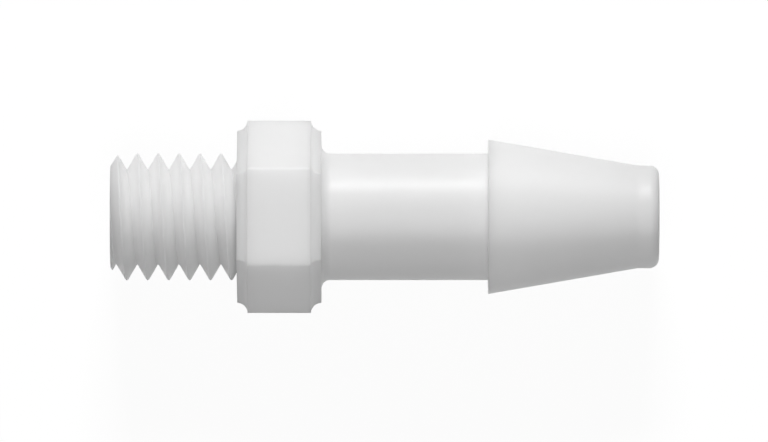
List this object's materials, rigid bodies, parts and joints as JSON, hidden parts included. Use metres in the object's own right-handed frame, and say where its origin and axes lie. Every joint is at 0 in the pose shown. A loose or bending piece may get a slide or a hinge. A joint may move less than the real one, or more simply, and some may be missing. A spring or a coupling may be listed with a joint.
{
  "type": "threaded hose nipple",
  "caption": "Straight hose nipple moulded in white plastic: external thread, hexagon with hollowed edges, plain neck and a single long barb, with a passage through it.",
  "frame": {"origin": "on the axis, in the plane of the hexagon's shoulder that seats on the port", "axes": "+X along the axis, from the thread to the barb; +Z out of a flat of the hexagon, away from the flat it lies on; +Y through a corner of the hexagon"},
  "size_m": [0.0208, 0.0072, 0.0064],
  "materials": {
    "white_plastic": "white moulded plastic with a soft satin sheen"
  },
  "bodies": {
    "root": {"hose_nipple": "white_plastic"}
  },
  "joints": []
}
